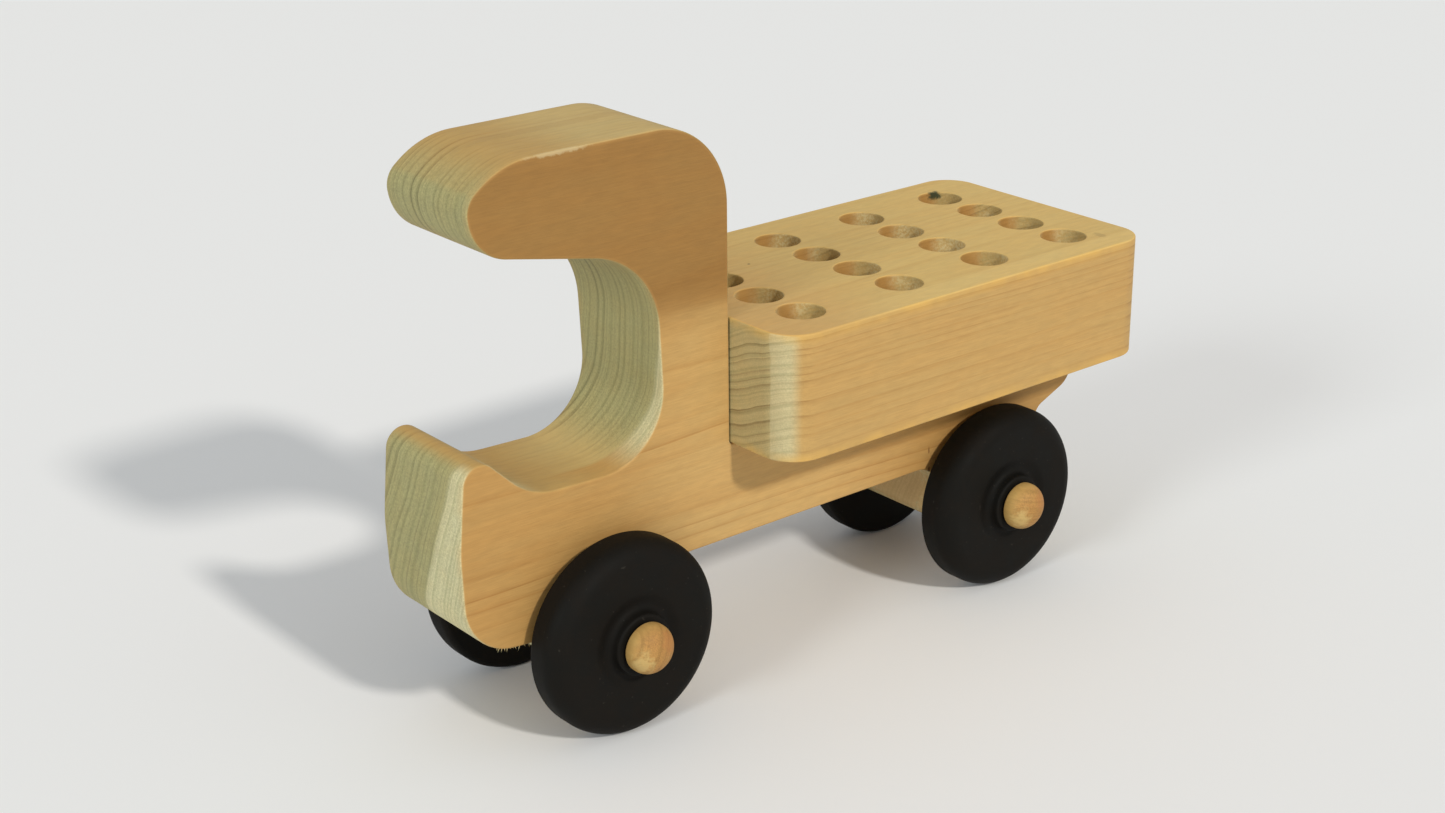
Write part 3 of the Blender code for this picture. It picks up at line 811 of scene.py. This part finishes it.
def make_bed(material):
    """The bed: rings rise from its underside, and the top is one flat cap round sixteen holes."""
    corners = [
        (BED_LOW.x, BED_LOW.y, BED_CORNER_RADIUS),
        (BED_HIGH.x, BED_LOW.y, BED_CORNER_RADIUS),
        (BED_HIGH.x, BED_HIGH.y, BED_CORNER_RADIUS),
        (BED_LOW.x, BED_HIGH.y, BED_CORNER_RADIUS),
    ]
    outline = rounded_outline(corners, ARC_STEP, BED_STEP)
    levels = ease_levels(EASE, EASE_STEPS)
    rising = [(BED_LOW.z, EASE + SUPPORT, 0.0)]
    rising += [(BED_LOW.z + fall, inset, 1.0) for inset, fall in levels]
    foot = BED_LOW.z + EASE
    rise = BED_HIGH.z - EASE - foot
    rising += [(foot + rise * step / BED_WALLS, 0.0, 0.0) for step in range(1, BED_WALLS)]
    rising += [(BED_HIGH.z - fall, inset, 1.0) for inset, fall in reversed(levels)]
    rising.append((BED_HIGH.z, EASE + SUPPORT, 0.0))
    shell = Shell()
    rings = []
    for z, inset, wear in rising:
        ring = []
        for point, normal, _ in outline:
            spot = Vector((point.x, point.y, z))
            out = Vector((normal.x, normal.y, 0))
            sway = SWAY * (ripple(spot, BED_SWAY_LENGTH, 5.9) - 1)
            ease = inset * (1 + EASE_VARIES * ripple(spot, BED_EASE_LENGTH, 1.9))
            ring.append(spot + out * (sway - ease))
        rings.append(shell.ring(ring, wear))
    shell.loft(rings)
    margins = [drill(shell, place) for place in hole_places()]
    shell.cap(rings[-1], margins, Vector((0, 0, 1)))
    shell.cap(rings[0], [], Vector((0, 0, -1)))
    return shell.build("crayon_bed", material)


HOLE_STEPS = 72
RIM_FLARE_MM = {0.0: 0.24, 0.07: 0.12, 0.17: 0.04, 0.3: 0.0}  # depth: how far the rim flares
RIM_DEPTH = max(RIM_FLARE_MM) * MM
RIM_WEAR = 0.4
WALL_RINGS = 22
WALL_SPREAD = 1.5  # how much closer the wall's rings lie near the top
WALL_ROUGH = 0.06 * MM
WALL_RIPPLES = [(1.1 * MM, 4.4), (2.6 * MM, 7.1)]  # the length and seed of each
CLEANEST_WALL = 0.3  # how rough the wall is where the bit ran with the grain
POINT_DEPTH = 0.9 * MM
BOTTOM_RINGS = (0.96, 0.2)  # the rings on a hole's bottom, as shares of its radius


def drill(shell, place):
    """A blind hole with a crisp flared rim, rough where the drill crossed end grain, and the dimple
    of the bit's point at its bottom. Returns the flat margin round its rim."""
    flare = RIM_FLARE_MM[0.0] * MM
    rings = [shell.ring(hole_ring(place, HOLE_RADIUS + flare + SUPPORT, 0.0))]
    for depth, wide in RIM_FLARE_MM.items():
        ring = hole_ring(place, HOLE_RADIUS + wide * MM, depth * MM)
        rings.append(shell.ring(ring, RIM_WEAR, depth * MM / RIM_DEPTH))
    for step in range(1, WALL_RINGS + 1):
        share = (step / WALL_RINGS) ** WALL_SPREAD
        depth = RIM_DEPTH + (HOLE_DEPTH - RIM_DEPTH) * share
        ring = []
        for spot in hole_ring(place, HOLE_RADIUS, depth):
            spoke = (spot - place).to_2d().normalized().to_3d()
            torn = CLEANEST_WALL + (1 - CLEANEST_WALL) * spoke.x**2
            rough = sum(WALL_ROUGH * torn * ripple(spot, *waves) for waves in WALL_RIPPLES)
            ring.append(spot + spoke * rough)
        rings.append(shell.ring(ring, 0.0, 1.0))
    for share in BOTTOM_RINGS:
        rings.append(shell.ring(hole_ring(place, HOLE_RADIUS * share, HOLE_DEPTH)))
    shell.loft(rings)
    shell.fan(rings[-1], place - Vector((0, 0, HOLE_DEPTH + POINT_DEPTH)), True)
    return rings[0]


def hole_ring(place, radius, depth):
    """A circle about a hole's axis, counter-clockwise seen from above."""
    ring = []
    for step in range(HOLE_STEPS):
        angle = math.tau * step / HOLE_STEPS
        spoke = Vector((math.cos(angle), math.sin(angle), 0))
        ring.append(place + spoke * radius - Vector((0, 0, depth)))
    return ring


TURNED_SWAY = 0.02 * MM
TURNED_SWAY_LENGTH = 5 * MM
WHEEL_STEPS = 144
PEG_STEPS = 72


def turned(name, profile, centre, side, count, material):
    """A turned piece about an axle, on the left where side is 1 and on the right where it is -1.
    profile is (radius, along, wear), from the outer end to the inner one, and closes on itself or
    on the axis. count is the number of points round it."""
    shell = Shell()
    rings = []
    tips = []
    for radius, along, wear in profile:
        y = side * along
        if radius <= 0:
            tips.append(Vector((centre.x, y, centre.z)))
            rings.append(None)
            continue
        ring = []
        for spot in round_points(Vector((centre.x, y, centre.z)), radius, count):
            out = (spot - centre).normalized()
            sway = ripple(spot, TURNED_SWAY_LENGTH, 2.2 + side) - 1
            ring.append(spot + out * TURNED_SWAY * sway)
        rings.append(shell.ring(ring, wear))
    if profile[0][0] > 0:
        rings.append(rings[0])
    for outer, inner in zip(rings, rings[1:]):
        if outer is None:
            shell.fan(inner, tips[0], side < 0)
        elif inner is None:
            shell.fan(outer, tips[-1], side > 0)
        elif side > 0:
            shell.bridge(outer, inner)
        else:
            shell.bridge(inner, outer)
    return shell.build(name, material)


def corner_arc(radius, along, size, first_angle, steps, wear=0.0):
    """A quarter circle about (radius, along) of a turned profile, running clockwise."""
    arc = []
    for step in range(steps + 1):
        angle = first_angle - math.pi / 2 * step / steps
        arc.append((radius + size * math.cos(angle), along + size * math.sin(angle), wear))
    return arc


# The wheel's profile, with radii from the axle and faces along it
WHEEL_BORE = 4.8 * MM
BORE_LIP = 0.3 * MM
HUB_RADIUS = 9.2 * MM
HUB_ROUND = 0.8 * MM
HUB_FLARE = 0.35 * MM
RIM_SET_BACK = 2.4 * MM  # from the hub's outer face to the highest part of the rim
RIM_BACK = 2.35 * MM  # from the hub's inner face to the rim's
RIM_OUTER_ROUND = 6.0 * MM
RIM_INNER_ROUND = 2.0 * MM
VALLEY_END = 15.0 * MM
VALLEY_DEPTH = 1.3 * MM
VALLEY_LOW = 0.28  # where the valley is deepest, from the hub at 0 to its end at 1
VALLEY_START = 0.45  # how high it starts at the hub, from its floor at 0 to the rim's face at 1
VALLEY_STEPS = 12
CROWN = 0.25 * MM  # how far the rim's face falls away beside the valley
CROWN_SHARES = (0.2, 0.4, 0.6, 0.8)
HUB_WALL = ((0.35, 0.1), (0.7, 0.4))  # shares of the drop to the valley, and of the flare there
HUB_EDGE_STEPS = 6
HUB_BACK_STEPS = 5
RIM_OUTER_STEPS = 20
RIM_INNER_STEPS = 8


def wheel_profile():
    """Hub boss, valley, domed rim and inner hub."""
    low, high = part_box("wheel_front_left")
    outer_radius = (high.z - low.z) / 2
    hub_face = high.y
    hub_back = low.y
    rim_face = hub_face - RIM_SET_BACK
    rim_back = hub_back + RIM_BACK
    profile = [(WHEEL_BORE, hub_face - BORE_LIP, 1.0), (WHEEL_BORE + BORE_LIP, hub_face, 1.0)]
    edge = HUB_RADIUS - HUB_ROUND
    edge_foot = hub_face - HUB_ROUND
    profile += corner_arc(edge, edge_foot, HUB_ROUND, math.pi / 2, HUB_EDGE_STEPS, 1.0)
    for drop, flare in HUB_WALL:
        along = edge_foot - drop * (edge_foot - rim_face + VALLEY_DEPTH)
        profile.append((HUB_RADIUS + flare * HUB_FLARE, along, 0.0))
    start = HUB_RADIUS + HUB_FLARE
    for step in range(1, VALLEY_STEPS + 1):
        share = step / VALLEY_STEPS
        if share < VALLEY_LOW:
            rise = VALLEY_START * (1 - share / VALLEY_LOW) ** 2
        else:
            climb = (share - VALLEY_LOW) / (1 - VALLEY_LOW)
            rise = climb * climb * (3 - 2 * climb) * (1 - CROWN / VALLEY_DEPTH)
        radius = start + share * (VALLEY_END - start)
        profile.append((radius, rim_face - VALLEY_DEPTH * (1 - rise), 0.0))
    shoulder = outer_radius - RIM_OUTER_ROUND
    for share in CROWN_SHARES:
        fall = CROWN * (1 - math.sin(math.pi * share) ** 2) * (1 - share)
        profile.append((VALLEY_END + share * (shoulder - VALLEY_END), rim_face - fall, 0.0))
    along = rim_face - RIM_OUTER_ROUND
    profile += corner_arc(shoulder, along, RIM_OUTER_ROUND, math.pi / 2, RIM_OUTER_STEPS)
    shoulder = outer_radius - RIM_INNER_ROUND
    along = rim_back + RIM_INNER_ROUND
    profile += corner_arc(shoulder, along, RIM_INNER_ROUND, 0.0, RIM_INNER_STEPS)
    profile.append((HUB_RADIUS + 3 * HUB_ROUND, rim_back, 0.0))
    profile.append((HUB_RADIUS + HUB_ROUND, rim_back, 0.0))
    profile.append((HUB_RADIUS, rim_back - HUB_ROUND, 0.0))
    profile += corner_arc(edge, hub_back + HUB_ROUND, HUB_ROUND, 0.0, HUB_BACK_STEPS)
    profile.append((WHEEL_BORE, hub_back, 0.0))
    return profile


# The peg's profile
SHANK_RADIUS = 4.365 * MM
DOME_HEIGHT = 5.6 * MM
HEAD_SIDE = 1.8 * MM
HEAD_ROUND = 0.8 * MM
HEAD_ROUND_STEPS = 4
HEAD_WEAR = 0.5
NECK = 0.3 * MM
SHANK_CHAMFER = 0.8 * MM
DOME_STEPS = 16


def peg_profile():
    """Domed head, shank and chamfered end, from the top of the dome down."""
    low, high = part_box("axle_peg_front_left")
    head = (high.z - low.z) / 2
    dome_foot = high.y - DOME_HEIGHT
    underside = dome_foot - HEAD_SIDE
    profile = [(0.0, high.y, 0.0)]
    for step in range(1, DOME_STEPS + 1):
        angle = math.pi / 2 * step / DOME_STEPS
        profile.append((head * math.sin(angle), dome_foot + DOME_HEIGHT * math.cos(angle), 0.0))
    edge = head - HEAD_ROUND
    along = underside + HEAD_ROUND
    profile += corner_arc(edge, along, HEAD_ROUND, 0.0, HEAD_ROUND_STEPS, HEAD_WEAR)
    profile.append((SHANK_RADIUS + NECK, underside, 0.0))
    profile.append((SHANK_RADIUS, underside - NECK, 0.0))
    profile.append((SHANK_RADIUS, low.y + SHANK_CHAMFER, 0.0))
    profile.append((SHANK_RADIUS - SHANK_CHAMFER, low.y, 0.0))
    profile.append((0.0, low.y, 0.0))
    return profile


# ---------------------------------------------------------------- assembly

body_wood = wood("poplar_body", BODY_BOARD)
bed_wood = wood("poplar_bed", BED_BOARD)
# The pegs' marks paint light and shade on their domed heads
peg_wood = wood("peg_wood", {**PEG_WOOD, "marks": peg_painted_light()})
paint = black_paint()

body = make_body(body_wood)
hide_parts("cab_and_chassis")
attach(body, "truck")

bed = make_bed(bed_wood)
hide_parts("bed_block")
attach(bed, "truck")

for dowel in ("bed_dowel_front", "bed_dowel_rear"):
    frame["nodes"][dowel].data.materials.clear()
    frame["nodes"][dowel].data.materials.append(peg_wood)

for end in ("front", "rear"):
    for side_name, side in (("left", 1), ("right", -1)):
        low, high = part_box(f"wheel_{end}_{side_name}")
        centre = Vector(((low.x + high.x) / 2, 0, (low.z + high.z) / 2))
        label = f"{end}_{side_name}"
        name = f"painted_wheel_{label}"
        wheel = turned(name, wheel_profile(), centre, side, WHEEL_STEPS, paint)
        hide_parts(f"wheel_{label}")
        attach(wheel, f"{end}_{side_name}_wheel")
        name = f"turned_peg_{label}"
        peg = turned(name, peg_profile(), centre, side, PEG_STEPS, peg_wood)
        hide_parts(f"axle_peg_{label}")
        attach(peg, "truck")

# ---------------------------------------------------------------- floor, light and camera

FLOOR_SIZE = 12
FLOOR_COLOR = (0.86, 0.86, 0.85, 1)
FLOOR_ROUGHNESS = 0.9
STUDIO_COLOR = (0.96, 0.98, 1.0, 1)
STUDIO_STRENGTH = 0.5

bpy.ops.mesh.primitive_plane_add(size=FLOOR_SIZE)
floor = bpy.context.object
floor.name = "floor"
floor_paint = Graph("floor")
floor_paint.shader.inputs["Base Color"].default_value = FLOOR_COLOR
floor_paint.shader.inputs["Roughness"].default_value = FLOOR_ROUGHNESS
floor.data.materials.append(floor_paint.material)

world = bpy.data.worlds.new("studio")
bpy.context.scene.world = world
world.use_nodes = True
studio_light = world.node_tree.nodes["Background"]
studio_light.inputs["Color"].default_value = STUDIO_COLOR
studio_light.inputs["Strength"].default_value = STUDIO_STRENGTH


def add_light(name, toward, strength, softness, color):
    """A distant lamp that lies toward the given direction, softness degrees across."""
    lamp = bpy.data.lights.new(name, "SUN")
    lamp.energy = strength
    lamp.angle = math.radians(softness)
    lamp.color = color
    holder = bpy.data.objects.new(name, lamp)
    bpy.context.scene.collection.objects.link(holder)
    holder.rotation_mode = "QUATERNION"
    holder.rotation_quaternion = Vector(toward).to_track_quat("Z", "Y")


add_light(
    "side_light",
    toward=(0.0, 0.82, 0.57),
    strength=1.75,
    softness=5.0,
    color=(1.0, 0.96, 0.90),
)
add_light(
    "front_light",
    toward=(0.886, 0.19, 0.423),
    strength=0.9,
    softness=16.0,
    color=(0.92, 0.98, 1.0),
)

# The photograph's view. An azimuth of 0 looks along +Y, and one of 90 degrees along -X.
VIEW_AIM = Vector((0.0080, -0.0090, 0.0700))
VIEW_AZIMUTH = math.radians(140.59)
VIEW_ELEVATION = math.radians(21.53)
VIEW_DISTANCE = 0.6973
VIEW_ROLL = math.radians(-0.47)
VIEW_LENS = 57.56
VIEW_SENSOR = 36
VIEW_NEAR = 0.02
back = Vector((
    math.sin(VIEW_AZIMUTH) * math.cos(VIEW_ELEVATION),
    -math.cos(VIEW_AZIMUTH) * math.cos(VIEW_ELEVATION),
    math.sin(VIEW_ELEVATION),
))
camera_data = bpy.data.cameras.new("camera")
camera_data.lens = VIEW_LENS
camera_data.sensor_width = VIEW_SENSOR
camera_data.clip_start = VIEW_NEAR
camera = bpy.data.objects.new("camera", camera_data)
bpy.context.scene.collection.objects.link(camera)
aimed = (-back).to_track_quat("-Z", "Y").to_matrix().to_4x4()
stand = Matrix.Translation(VIEW_AIM + back * VIEW_DISTANCE)
roll = Matrix.Rotation(VIEW_ROLL, 4, "Z")
camera.matrix_world = stand @ aimed @ roll
bpy.context.scene.camera = camera
bpy.context.scene.view_settings.view_transform = "Standard"
